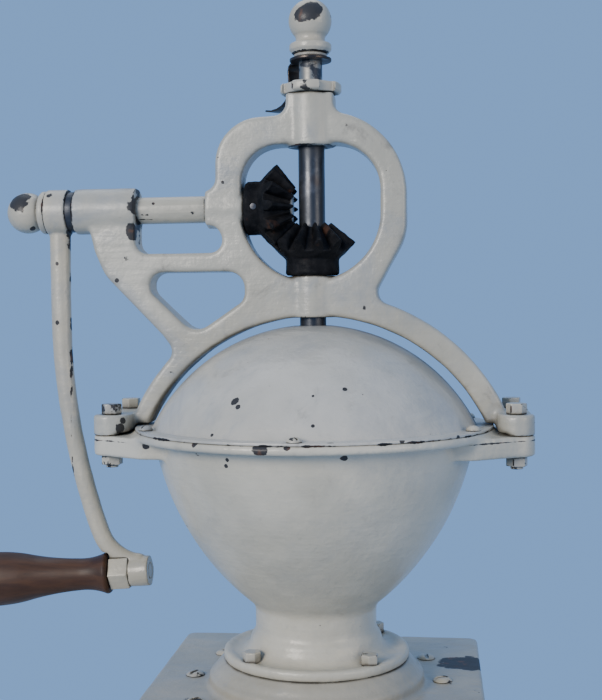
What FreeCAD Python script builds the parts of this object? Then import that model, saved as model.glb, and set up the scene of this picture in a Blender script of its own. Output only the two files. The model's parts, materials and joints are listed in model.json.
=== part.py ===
import FreeCAD, Part
import math
import os

# Counter-top hand coffee mill, in millimetres.
# The origin is on the spindle axis at the level of the table. +Z is up, the crank
# shaft lies along X with the crank at -X, and the front with the drawer is -Y.

V = FreeCAD.Vector
X_AXIS = V(1, 0, 0)
Y_AXIS = V(0, 1, 0)
Z_AXIS = V(0, 0, 1)

# ---- driving dimensions ------------------------------------------------------
BOX_HEIGHT = 130.0          # table to the top of the iron top plate
PLATE_SIZE = 216.0          # square top plate
PLATE_THICK = 6.0
PLATE_CORNER = 7.0
PLATE_OVERHANG = 6.0        # plate edge outside the box walls
BOARD = 14.0                # thickness of the box boards
BOTTOM_BOARD = 12.0

BOSS_RADIUS = 70.0          # raised seat for the hopper on the top plate
BOSS_HEIGHT = 16.8
DISCHARGE_RADIUS = 34.0     # hole that the ground coffee falls through
FLANGE_RADIUS = 60.4
FLANGE_THICK = 6.8
FLANGE_BOLT_CIRCLE = 52.3

NECK_RADIUS = 39.5
NECK_TOP = 52.0             # heights from here on are above the top plate
BOWL_RADIUS = 103.5         # outside radius at the rim
BOWL_WALL = 5.0
RIM_RADIUS = 117.0
RIM_BOTTOM = 161.4
RIM_TOP = 167.0

DOME_RADIUS = 117.0         # spherical cover
DOME_CENTRE = 116.2         # height of the sphere's centre
DOME_WALL = 1.8
DOME_FLANGE_RADIUS = 115.5
DOME_FLANGE = 1.6
DOME_SPINDLE_HOLE = 11.5

SHAFT_HEIGHT = 309.0        # crank shaft axis
SHAFT_RADIUS = 8.75
SPINDLE_RADIUS = 8.5
SPINDLE_NECK_RADIUS = 7.5
RUNNING_GAP = 0.05          # radial clearance of the plain bearings

YOKE_THICK = 23.5
YOKE_EDGE = 3.0            # rounding of the casting's edges
LUG_X = 128.3               # bolt centres of the feet
LUG_Y = 24.5
LUG_RADIUS = 11.3
LUG_SEAM = 164.0
LUG_BOTTOM = 151.0
FOOT_TOP = 177.0

GEAR_TEETH = 12
GEAR_MODULE = 4.25
GEAR_PRESSURE = math.radians(20)
GEAR_SMALL_END = 0.456      # small end of the teeth as a share of the large end
GEAR_HUB_RADIUS = 17.3
DRIVE_HUB_END = 42.8        # ends of the hubs from the apex of the pitch cones
DRIVEN_HUB_END = 43.9

THREAD_PITCH = 2.0          # adjusting thread
NOTCHES = 4
SPRING_ANGLE = 130.0

TOP = BOX_HEIGHT            # all hopper and yoke heights are measured from here
SHAFT_Z = TOP + SHAFT_HEIGHT


# ---- helpers -----------------------------------------------------------------
def cylinder(radius, low, high, x=0.0, y=0.0):
    """A vertical cylinder between two heights."""
    return Part.makeCylinder(radius, high - low, V(x, y, low))


def rod(radius, start, end):
    """A cylinder between two points."""
    axis = end.sub(start)
    return Part.makeCylinder(radius, axis.Length, start, axis)


def block(x, y, z):
    """A box from three (low, high) pairs."""
    return Part.makeBox(x[1] - x[0], y[1] - y[0], z[1] - z[0], V(x[0], y[0], z[0]))


def corner_edges(points):
    """Edges of a closed outline of (a, b, radius) points in the XY plane."""
    count = len(points)
    stops = []
    for i in range(count):
        here = V(points[i][0], points[i][1], 0)
        before = V(points[i - 1][0], points[i - 1][1], 0).sub(here)
        after = V(points[(i + 1) % count][0], points[(i + 1) % count][1], 0).sub(here)
        radius = points[i][2]
        if radius <= 0:
            stops.append((here, None, here))
            continue
        before.normalize()
        after.normalize()
        half = before.getAngle(after) / 2
        run = radius / math.tan(half)
        start = here.add(V(before).multiply(run))
        end = here.add(V(after).multiply(run))
        inward = before.add(after).normalize()
        reach = radius / math.sin(half) - radius
        stops.append((start, here.add(inward.multiply(reach)), end))
    edges = []
    for i in range(count):
        start, middle, end = stops[i]
        if middle is not None:
            edges.append(Part.Arc(start, middle, end).toShape())
        following = stops[(i + 1) % count][0]
        if end.distanceToPoint(following) > 1e-6:
            edges.append(Part.LineSegment(end, following).toShape())
    return edges


def flat_face(points):
    """A face in the XY plane bounded by an outline with rounded corners."""
    area = 0.0
    for i in range(len(points)):
        area += points[i - 1][0] * points[i][1] - points[i][0] * points[i - 1][1]
    if area < 0:
        points = points[::-1]
    return Part.Face(Part.Wire(corner_edges(points)))


def standing(face, thickness):
    """Extrude a face drawn as (x, height) into a slab centred on the plane y = 0."""
    upright = face.copy()
    upright.rotate(V(), X_AXIS, 90)
    upright.translate(V(0, thickness / 2, TOP))
    return upright.extrude(V(0, -thickness, 0))


def lying(face, low, high):
    """Extrude a face drawn in plan between two heights."""
    slab = face.copy()
    slab.translate(V(0, 0, low))
    return slab.extrude(V(0, 0, high - low))


def turned(points, lift=0.0):
    """Revolve a closed (radius, height) outline of points and arcs about Z.

    A point may be a pair, or ("arc", middle, end) for a round stretch.
    """
    edges = []
    here = V(points[0][0], 0, points[0][1])
    for item in points[1:] + [points[0]]:
        if item[0] == "arc":
            middle = V(item[1][0], 0, item[1][1])
            end = V(item[2][0], 0, item[2][1])
            edges.append(Part.Arc(here, middle, end).toBSpline().toShape())
        else:
            end = V(item[0], 0, item[1])
            if here.distanceToPoint(end) > 1e-6:
                edges.append(Part.LineSegment(here, end).toShape())
        here = end
    solid = Part.Face(Part.Wire(edges)).revolve(V(), Z_AXIS, 360)
    solid.translate(V(0, 0, lift))
    return solid


def hexagon(across_flats, low, high, x=0.0, y=0.0, turn=0.0):
    """A vertical hexagonal prism with a lightly chamfered top."""
    corner = across_flats / math.sqrt(3)
    points = []
    for k in range(6):
        angle = math.radians(60 * k + turn)
        points.append((x + corner * math.cos(angle), y + corner * math.sin(angle), 0))
    prism = lying(flat_face(points), low, high)
    height = high - low
    dressing = Part.makeCone(corner + height * 0.9, corner * 0.93, height, V(x, y, low))
    return prism.common(dressing)


def around(shape, angles):
    """Copies of a shape turned about the spindle axis."""
    copies = []
    for angle in angles:
        item = shape.copy()
        item.rotate(V(), Z_AXIS, angle)
        copies.append(item)
    return copies


def mirrored(shapes, normal):
    """The shapes and their mirror images through the origin."""
    return shapes + [shape.mirror(V(), normal) for shape in shapes]


def aim(shape, origin, direction):
    """Move a shape built along +Z so that it points along a direction from a point."""
    item = shape.copy()
    turn = FreeCAD.Placement(origin, FreeCAD.Rotation(Z_AXIS, direction))
    item.Placement = turn.multiply(item.Placement)
    return item


NODES = {}


def node(name, *solids):
    """Keep one named node, a single solid or a group of separate solids."""
    pieces = []
    for solid in solids:
        pieces += solid.Solids
    NODES[name] = pieces[0] if len(pieces) == 1 else Part.makeCompound(pieces)


# ---- the wooden box and its drawer ---------------------------------------------
BOX_HALF = PLATE_SIZE / 2 - PLATE_OVERHANG
PLATE_UNDERSIDE = BOX_HEIGHT - PLATE_THICK
OPENING_HALF = 75.0
OPENING_LOW = BOTTOM_BOARD + 8.0
OPENING_HIGH = OPENING_LOW + 74.0
DRAWER_GAP = 0.6
DRAWER_WALL = 6.0
DRAWER_DEPTH = 166.0
KNOB_RADIUS = 13.0


def box():
    base = PLATE_SIZE / 2
    corners = [(-base, -base, 5), (base, -base, 5), (base, base, 5), (-base, base, 5)]
    bottom = lying(flat_face(corners), 0, BOTTOM_BOARD)
    upper_edges = []
    for edge in bottom.Edges:
        if edge.BoundBox.ZMin > BOTTOM_BOARD - 0.01:
            upper_edges.append(edge)
    node("bottom_board", bottom.makeFillet(4.0, upper_edges))
    low = BOTTOM_BOARD
    high = PLATE_UNDERSIDE
    inner = BOX_HALF - BOARD
    node("left_side_board", block((-BOX_HALF, -inner), (-BOX_HALF, BOX_HALF), (low, high)))
    node("right_side_board", block((inner, BOX_HALF), (-BOX_HALF, BOX_HALF), (low, high)))
    node("back_board", block((-inner, inner), (inner, BOX_HALF), (low, high)))
    front = block((-inner, inner), (-BOX_HALF, -inner), (low, high))
    opening = block((-OPENING_HALF, OPENING_HALF), (-BOX_HALF - 1, -inner + 1),
                    (OPENING_LOW, OPENING_HIGH))
    node("front_board", front.cut(opening))
    ledge = block((OPENING_HALF - 12, inner), (-inner, inner), (low, OPENING_LOW))
    guide = block((OPENING_HALF, inner), (-inner, inner), (OPENING_LOW, OPENING_LOW + 14))
    runner = ledge.fuse(guide).removeSplitter()
    node("drawer_runners", *mirrored([runner], X_AXIS))


def drawer():
    half = OPENING_HALF - DRAWER_GAP
    low = OPENING_LOW + DRAWER_GAP / 2
    high = OPENING_HIGH - DRAWER_GAP
    inner = BOX_HALF - BOARD
    face = block((-half, half), (-BOX_HALF, -inner), (low, high))
    ring = []
    for edge in face.Edges:
        if edge.BoundBox.YMax < -BOX_HALF + 0.01:
            ring.append(edge)
    node("drawer_front", face.makeFillet(2.0, ring))
    back = -inner + DRAWER_DEPTH
    tray_high = high - 6.0
    tray = block((-half, half), (-inner, back), (low, tray_high))
    hollow = block((-half + DRAWER_WALL, half - DRAWER_WALL),
                   (-inner + DRAWER_WALL, back - DRAWER_WALL), (low + 4.0, high + 1))
    node("drawer_tray", tray.cut(hollow))
    middle = (low + high) / 2
    knob = turned([(3, 0), (9, 0), ("arc", (6.6, 5), (5.5, 9)),
                   ("arc", (9.5, 12), (KNOB_RADIUS, 17)), ("arc", (11.2, 23.4), (6.4, 26.4)),
                   (3, 26.4)])
    seat = V(0, -BOX_HALF, middle)
    forward = V(0, -1, 0)
    node("drawer_knob", aim(knob, seat, forward))
    screw = turned([(0, -BOARD - 8), (3, -BOARD - 8), (3, 26.4), (5.5, 26.4),
                    ("arc", (4.2, 28.0), (0, 28.8))])
    clear = rod(3.0, V(0, -BOX_HALF - 1, middle), V(0, -inner + 8, middle))
    node("knob_screw", aim(screw, seat, forward))
    NODES["drawer_front"] = NODES["drawer_front"].cut(clear)
    NODES["drawer_tray"] = NODES["drawer_tray"].cut(clear)


# ---- top plate, with its raised seat and the guide bar below it -----------------
BAR_THICK = 8.0
PILOT_RADIUS = 5.0
PLATE_SCREWS = ((82.0, 5.0), (-82.0, 5.0), (71.0, 54.0), (-71.0, 54.0),
                (71.0, -50.0), (-71.0, -50.0))


def slotted_screw(head_radius, head_height, shank_radius, length, slot):
    """A round-head screw standing on z = 0 with its shank below."""
    head = turned([(0, 0), (head_radius, 0), ("arc", (head_radius * 0.78, head_height * 0.72),
                                              (0, head_height))])
    cut = block((-head_radius, head_radius), (-slot / 2, slot / 2),
                (head_height * 0.45, head_height + 1))
    return head.cut(cut).fuse(cylinder(shank_radius, -length, 0)).removeSplitter()


def top_plate():
    half = PLATE_SIZE / 2
    corners = [(-half, -half, PLATE_CORNER), (half, -half, PLATE_CORNER),
               (half, half, PLATE_CORNER), (-half, half, PLATE_CORNER)]
    plate = lying(flat_face(corners), PLATE_UNDERSIDE, TOP)
    top_edges = []
    for edge in plate.Edges:
        if edge.BoundBox.ZMin > TOP - 0.01:
            top_edges.append(edge)
    plate = plate.makeFillet(1.5, top_edges)
    seat = turned([(0, -1), (BOSS_RADIUS + 2.5, -1), (BOSS_RADIUS + 2.5, 0),
                   ("arc", (BOSS_RADIUS + 0.7, 0.8), (BOSS_RADIUS, 2.6)), (BOSS_RADIUS, 6.0),
                   ("arc", (BOSS_RADIUS - 0.8, 8.0), (BOSS_RADIUS - 3, 8.8)),
                   ("arc", (BOSS_RADIUS - 4.8, 12.2), (FLANGE_RADIUS + 1.6, 15.0)),
                   ("arc", (FLANGE_RADIUS + 0.6, 15.9), (FLANGE_RADIUS - 0.6, BOSS_HEIGHT)),
                   (0, BOSS_HEIGHT)], TOP)
    plate = plate.fuse(seat)
    plate = plate.cut(cylinder(DISCHARGE_RADIUS, PLATE_UNDERSIDE - 1, TOP + BOSS_HEIGHT + 1))
    shank = 3.2
    tools = [cylinder(shank, PLATE_UNDERSIDE - 1, TOP + 1, x, y) for x, y in PLATE_SCREWS]
    bolt = cylinder(3.5, TOP + 4, TOP + BOSS_HEIGHT + 1, FLANGE_BOLT_CIRCLE, 0)
    tools += around(bolt, (45, 135, 225, 315))
    tools += [cylinder(3.0, PLATE_UNDERSIDE - 1, TOP + 8, side * 42.0, 0) for side in (-1, 1)]
    node("top_plate", plate.cut(tools).removeSplitter())

    screws = []
    tool_holes = []
    for number, (x, y) in enumerate(PLATE_SCREWS):
        screw = slotted_screw(6.6, 2.2, shank, PLATE_THICK + 22, 2.4)
        screw.rotate(V(), Z_AXIS, 17 + 41 * number)
        screw.translate(V(x, y, TOP))
        screws.append(screw)
        tool_holes.append(cylinder(shank, PLATE_UNDERSIDE - 22, PLATE_UNDERSIDE + 1, x, y))
    node("plate_screws", *screws)
    for side in (-1, 1):
        name = "left_cleat" if side < 0 else "right_cleat"
        inner = BOX_HALF - BOARD
        near = 62.0
        cleat = block((min(side * near, side * inner), max(side * near, side * inner)),
                      (-inner, inner), (PLATE_UNDERSIDE - 24, PLATE_UNDERSIDE))
        node(name, cleat.cut(tool_holes))

    bar_low = PLATE_UNDERSIDE - BAR_THICK
    bar = lying(flat_face([(-52, -9, 8), (52, -9, 8), (52, 9, 8), (-52, 9, 8)]),
                bar_low, PLATE_UNDERSIDE)
    bar = bar.fuse(cylinder(12, bar_low, PLATE_UNDERSIDE + 4))
    bar = bar.cut(cylinder(PILOT_RADIUS + RUNNING_GAP, bar_low - 1, PLATE_UNDERSIDE + 6))
    bar = bar.cut([cylinder(3.0, bar_low - 1, PLATE_UNDERSIDE + 1, side * 42.0, 0)
                   for side in (-1, 1)])
    node("lower_guide_bar", bar.removeSplitter())
    bar_screws = []
    for side in (-1, 1):
        screw = slotted_screw(5.2, 2.8, 3.0, BAR_THICK + 12, 1.4)
        screw.rotate(V(), X_AXIS, 180)
        screw.translate(V(side * 42.0, 0, bar_low))
        bar_screws.append(screw)
    node("guide_bar_screws", *bar_screws)


# ---- hopper bowl, with its neck, flange, rim and lugs ---------------------------
BOWL_ARC_CENTRE = (-70.1, 189.7)    # centre of the round stretch of the bowl's wall
BOWL_ARC_RADIUS = 176.0
BURR_BORE = 32.0
BURR_TOP = 56.0
BURR_BOTTOM = 24.0


def bowl_radius(height, inset=0.0):
    """Radius of the bowl's wall at a height, moved inward by an inset."""
    rise = height - BOWL_ARC_CENTRE[1]
    reach = BOWL_ARC_RADIUS - inset
    return BOWL_ARC_CENTRE[0] + math.sqrt(reach ** 2 - rise ** 2)


def lug_plan(grow=0.0):
    """Plan of one foot: two bolt bosses joined by a web."""
    radius = LUG_RADIUS + grow
    bosses = [Part.Face(Part.Wire(Part.makeCircle(radius, V(LUG_X, side * LUG_Y, 0))))
              for side in (-1, 1)]
    web = flat_face([(LUG_X - radius, -LUG_Y, 0), (LUG_X + radius - 1.2, -LUG_Y, 0),
                     (LUG_X + radius - 1.2, LUG_Y, 0), (LUG_X - radius, LUG_Y, 0)])
    return bosses[0].fuse([bosses[1], web]).removeSplitter().Faces[0]


def hopper_bowl():
    arc_low = 54.5
    arc_mid = (arc_low + RIM_BOTTOM) / 2
    inner_low = 60.0
    inner_mid = (inner_low + RIM_TOP) / 2
    wall = BOWL_WALL
    top_inner = bowl_radius(RIM_TOP, wall)
    flange_top = BOSS_HEIGHT + FLANGE_THICK
    outline = [
        (BURR_BORE, BURR_BOTTOM - 4),
        (BURR_BORE - 2, BURR_BOTTOM - 4),
        (BURR_BORE - 2, BOSS_HEIGHT),
        (FLANGE_RADIUS - 1.2, BOSS_HEIGHT),
        ("arc", (FLANGE_RADIUS - 0.2, BOSS_HEIGHT + 1.0), (FLANGE_RADIUS, BOSS_HEIGHT + 2.4)),
        (FLANGE_RADIUS, flange_top - 1.6),
        ("arc", (FLANGE_RADIUS - 0.5, flange_top - 0.4), (FLANGE_RADIUS - 1.7, flange_top)),
        (FLANGE_RADIUS - 4.6, flange_top),
        ("arc", (FLANGE_RADIUS - 5.6, flange_top - 0.9), (FLANGE_RADIUS - 7.2, flange_top - 1.2)),
        (NECK_RADIUS + 9.5, flange_top - 1.2),
        ("arc", (NECK_RADIUS + 5.2, flange_top + 1.6), (NECK_RADIUS + 3.4, flange_top + 6.0)),
        ("arc", (NECK_RADIUS + 2.2, flange_top + 9.4), (NECK_RADIUS, flange_top + 11.4)),
        (NECK_RADIUS, NECK_TOP - 3.0),
        ("arc", (NECK_RADIUS + 0.9, NECK_TOP), (bowl_radius(arc_low), arc_low)),
        ("arc", (bowl_radius(arc_mid), arc_mid), (bowl_radius(RIM_BOTTOM), RIM_BOTTOM)),
        (RIM_RADIUS - 1.5, RIM_BOTTOM),
        ("arc", (RIM_RADIUS, (RIM_BOTTOM + RIM_TOP) / 2), (RIM_RADIUS - 1.5, RIM_TOP)),
        (top_inner, RIM_TOP),
        ("arc", (bowl_radius(inner_mid, wall), inner_mid),
         (bowl_radius(inner_low, wall), inner_low)),
        (BURR_BORE, BURR_TOP + 1.0),
    ]
    bowl = turned(outline, TOP)
    flare_x = 103.0
    flare_y = 54.0
    lug = lug_plan().fuse(flat_face([
        (84, -flare_y, 0), (flare_x, -flare_y, 0), (LUG_X + 2, -LUG_Y - LUG_RADIUS + 0.3, 0),
        (LUG_X + 2, LUG_Y + LUG_RADIUS - 0.3, 0), (flare_x, flare_y, 0), (84, flare_y, 0)]))
    lug = lying(lug.removeSplitter().Faces[0], TOP + LUG_BOTTOM, TOP + LUG_SEAM)
    keep_out = cylinder(bowl_radius(LUG_BOTTOM + 6, wall / 2), TOP, TOP + RIM_TOP)
    lug = lug.cut(keep_out)
    bowl = bowl.fuse(mirrored([lug], X_AXIS))
    bolts = [cylinder(4.0, TOP + LUG_BOTTOM - 1, TOP + LUG_SEAM + 1, x, y)
             for x in (-LUG_X, LUG_X) for y in (-LUG_Y, LUG_Y)]
    flange_bolt = cylinder(3.5, TOP + BOSS_HEIGHT - 1, TOP + flange_top + 1,
                           FLANGE_BOLT_CIRCLE, 0)
    spot_face = cylinder(6.8, TOP + flange_top - 1.2, TOP + flange_top + 7, FLANGE_BOLT_CIRCLE, 0)
    bolts += around(flange_bolt.fuse(spot_face), (45, 135, 225, 315))
    screw = cylinder(2.0, TOP + RIM_BOTTOM - 1, TOP + RIM_TOP + 1, DOME_SCREW_CIRCLE, 0)
    bolts += around(screw, DOME_SCREW_ANGLES)
    node("hopper_bowl", bowl.cut(bolts).removeSplitter())

    bolt = hexagon(10.0, TOP + flange_top - 1.2, TOP + flange_top + 5.4,
                   FLANGE_BOLT_CIRCLE, 0, 12)
    bolt = bolt.fuse(cylinder(3.5, TOP + 5, TOP + flange_top, FLANGE_BOLT_CIRCLE, 0))
    node("flange_bolts", *around(bolt, (45, 135, 225, 315)))


# ---- burrs --------------------------------------------------------------------
BURR_SLOPE = math.tan(math.radians(25.8))
INNER_BURR_RADIUS = 26.5
BURR_GAP = 1.35
INNER_BURR_TOP = 54.0
BURR_SEAT_RADIUS = 6.0


def burrs():
    mouth = INNER_BURR_RADIUS + BURR_GAP
    parallel = 8.0
    throat = mouth - parallel * BURR_SLOPE
    ring = turned([(mouth, BURR_BOTTOM - 4), (BURR_BORE, BURR_BOTTOM - 4), (BURR_BORE, BURR_TOP),
                   (BURR_BORE - 3.5, BURR_TOP), (throat - 1, BURR_BOTTOM + 20),
                   (throat, BURR_BOTTOM + parallel), (mouth, BURR_BOTTOM)], TOP)
    groove = block((throat - 2.0, mouth + 1.0), (-0.8, 0.8),
                   (TOP + BURR_BOTTOM - 5, TOP + BURR_TOP + 1))
    grooves = around(groove, [15 * k for k in range(24)])
    node("outer_burr", ring.cut(grooves))
    top_radius = INNER_BURR_RADIUS - (INNER_BURR_TOP - BURR_BOTTOM) * BURR_SLOPE
    cone = turned([(BURR_SEAT_RADIUS, BURR_BOTTOM), (INNER_BURR_RADIUS, BURR_BOTTOM),
                   (top_radius, INNER_BURR_TOP), (BURR_SEAT_RADIUS, INNER_BURR_TOP)], TOP)
    flute = block((0, 60), (-1.6, 1.6), (0, 9))
    flute.translate(V(0, 0, -1.8))
    flute.rotate(V(), Y_AXIS, -math.degrees(math.atan(1 / BURR_SLOPE)))
    flute.rotate(V(), X_AXIS, 14)
    flute.translate(V(INNER_BURR_RADIUS + 1.2, 0, TOP + BURR_BOTTOM - 4))
    flutes = around(flute, [30 * k for k in range(12)])
    node("inner_burr", cone.cut(flutes))


# ---- dome, its shutter and their fixings ----------------------------------------
DOME_SCREW_CIRCLE = 110.5
DOME_SCREW_ANGLES = (24, 90, 156, 204, 270, 336)
FILL_LOW = 182.0
FILL_HIGH = 224.0
FILL_START = 30.0
FILL_END = 150.0
SHUTTER_GAP = 0.5
SHUTTER_WALL = 1.4
SHUTTER_OVERLAP = 5.0
KNOB_ANGLE = 62.0
KNOB_HEIGHT = 203.0


def wedge(start, end, radius, low, high):
    """A pie slice about the spindle axis between two angles and two heights."""
    slice_solid = Part.makeCylinder(radius, high - low, V(0, 0, low), Z_AXIS, end - start)
    slice_solid.rotate(V(), Z_AXIS, start)
    return slice_solid


def ball_shell(outer, inner):
    """A hollow ball about the dome's centre."""
    centre = V(0, 0, TOP + DOME_CENTRE)
    return Part.makeSphere(outer, centre).cut(Part.makeSphere(inner, centre))


def dome():
    above = cylinder(DOME_RADIUS + 5, TOP + RIM_TOP, TOP + DOME_CENTRE + DOME_RADIUS + 5)
    shell = ball_shell(DOME_RADIUS, DOME_RADIUS - DOME_WALL).common(above)
    rise = RIM_TOP - DOME_CENTRE
    inner = math.sqrt((DOME_RADIUS - DOME_WALL) ** 2 - rise ** 2)
    flange = cylinder(DOME_FLANGE_RADIUS, TOP + RIM_TOP, TOP + RIM_TOP + DOME_FLANGE)
    flange = flange.cut(cylinder(inner, TOP + RIM_TOP - 1, TOP + RIM_TOP + DOME_FLANGE + 1))
    shell = shell.fuse(flange)
    ball = Part.makeSphere(DOME_RADIUS - DOME_WALL, V(0, 0, TOP + DOME_CENTRE))
    shell = shell.cut(ball)
    shell = shell.cut(cylinder(DOME_SPINDLE_HOLE, TOP + RIM_TOP, TOP + DOME_CENTRE + 140))
    shell = shell.cut(wedge(FILL_START, FILL_END, DOME_RADIUS + 10, TOP + FILL_LOW,
                            TOP + FILL_HIGH))
    screw_hole = cylinder(2.0, TOP + RIM_TOP - 1, TOP + RIM_TOP + 4, DOME_SCREW_CIRCLE, 0)
    shell = shell.cut(around(screw_hole, DOME_SCREW_ANGLES))
    node("hopper_dome", shell.removeSplitter())

    screw = slotted_screw(4.6, 3.0, 2.0, DOME_FLANGE + RIM_TOP - RIM_BOTTOM, 1.1)
    screw.rotate(V(), Z_AXIS, 35)
    screw.translate(V(DOME_SCREW_CIRCLE, 0, TOP + RIM_TOP + DOME_FLANGE))
    node("dome_screws", *around(screw, DOME_SCREW_ANGLES))

    outer = DOME_RADIUS - DOME_WALL - SHUTTER_GAP
    leaf = ball_shell(outer, outer - SHUTTER_WALL)
    lower = TOP + RIM_TOP + 0.4
    sector = wedge(FILL_START - SHUTTER_OVERLAP, FILL_END + SHUTTER_OVERLAP, DOME_RADIUS,
                   lower, TOP + 300)
    collar = cylinder(26.0, TOP + 200, TOP + 300)
    leaf = leaf.common(sector.fuse(collar))
    leaf = leaf.cut(cylinder(DOME_SPINDLE_HOLE + 0.5, TOP + 200, TOP + 300))
    angle = math.radians(KNOB_ANGLE)
    rise = KNOB_HEIGHT - DOME_CENTRE
    reach = math.sqrt(outer ** 2 - rise ** 2)
    outward = V(reach * math.cos(angle), reach * math.sin(angle), rise).normalize()
    centre = V(0, 0, TOP + DOME_CENTRE)
    seat = centre.add(V(outward).multiply(outer))
    stem = rod(2.5, centre.add(V(outward).multiply(outer - 10)),
               centre.add(V(outward).multiply(outer + 10)))
    node("dome_shutter", leaf.cut(stem).removeSplitter())
    knob = turned([(0, -SHUTTER_WALL - 2.1), (4.5, -SHUTTER_WALL - 2.1),
                   (4.5, -SHUTTER_WALL - 0.1), (2.5, -SHUTTER_WALL - 0.1), (2.5, 0.6), (4.2, 0.6),
                   ("arc", (3.6, 4), (4.4, 7)), ("arc", (8.0, 9.4), (8.5, 12)),
                   ("arc", (6.2, 16.4), (0, 17.5))])
    node("shutter_knob", aim(knob, seat, outward))


# ---- yoke frame ------------------------------------------------------------------
UPPER_BOSS_RADIUS = 15.4
UPPER_BOSS_TOP = 381.4
UPPER_BOSS_BOTTOM = 347.6
LOWER_BOSS_RADIUS = 14.4
LOWER_BOSS_TOP = 264.7
LOWER_BOSS_BOTTOM = 237.8
INNER_BEARING = (-68.8, -43.2)
INNER_BEARING_RADIUS = 12.6
OUTER_BEARING = (-156.5, -115.0)
OUTER_BEARING_RADIUS = 15.0
ARCH_OUTSIDE = (3.2, 122.0, 132.0)      # x, height and radius of the arch's back
ARCH_INSIDE = (1.3, 118.2, 120.5)       # the same of its underside
ARCH_END = 169.6

RING_OUTSIDE = [(-61.8, 365.2, 30), (61.3, 372.0, 52), (61.3, 290.0, 32), (37.0, 246.0, 0),
                (-40.0, 246.0, 0), (-61.8, 300.0, 0)]
RING_WINDOW = [(-44.7, 348.6, 24), (44.7, 349.4, 30), (44.7, 261.6, 44.0), (-44.7, 261.6, 44.0)]
BRACKET = [(-147.5, 304.0, 0), (-142.5, 283.0, 30), (-135.5, 266.5, 26), (-97.6, 227.2, 0),
           (-88.0, 214.0, 0), (-40.0, 236.0, 0), (-40.0, 280.4, 0), (-115.0, 280.4, 0),
           (-115.0, 304.0, 0)]
SIDE_WINDOW = [(-105.5, 268.0, 8), (-105.5, 255.6, 8), (-76.2, 227.6, 12),
               (-43.4, 249.6, 8.5), (-43.4, 268.0, 11)]
CAST_FILLET = 8.0


def disc(x, height, radius):
    return Part.Face(Part.Wire(Part.makeCircle(radius, V(x, height, 0))))


def one_face(faces):
    """Join overlapping faces of the XY plane into a single face."""
    slabs = [face.extrude(Z_AXIS) for face in faces]
    joined = slabs[0].fuse(slabs[1:]).removeSplitter()
    lower = [face for face in joined.Faces if face.BoundBox.ZMax < 0.001]
    return max(lower, key=lambda face: face.Area)


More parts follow.
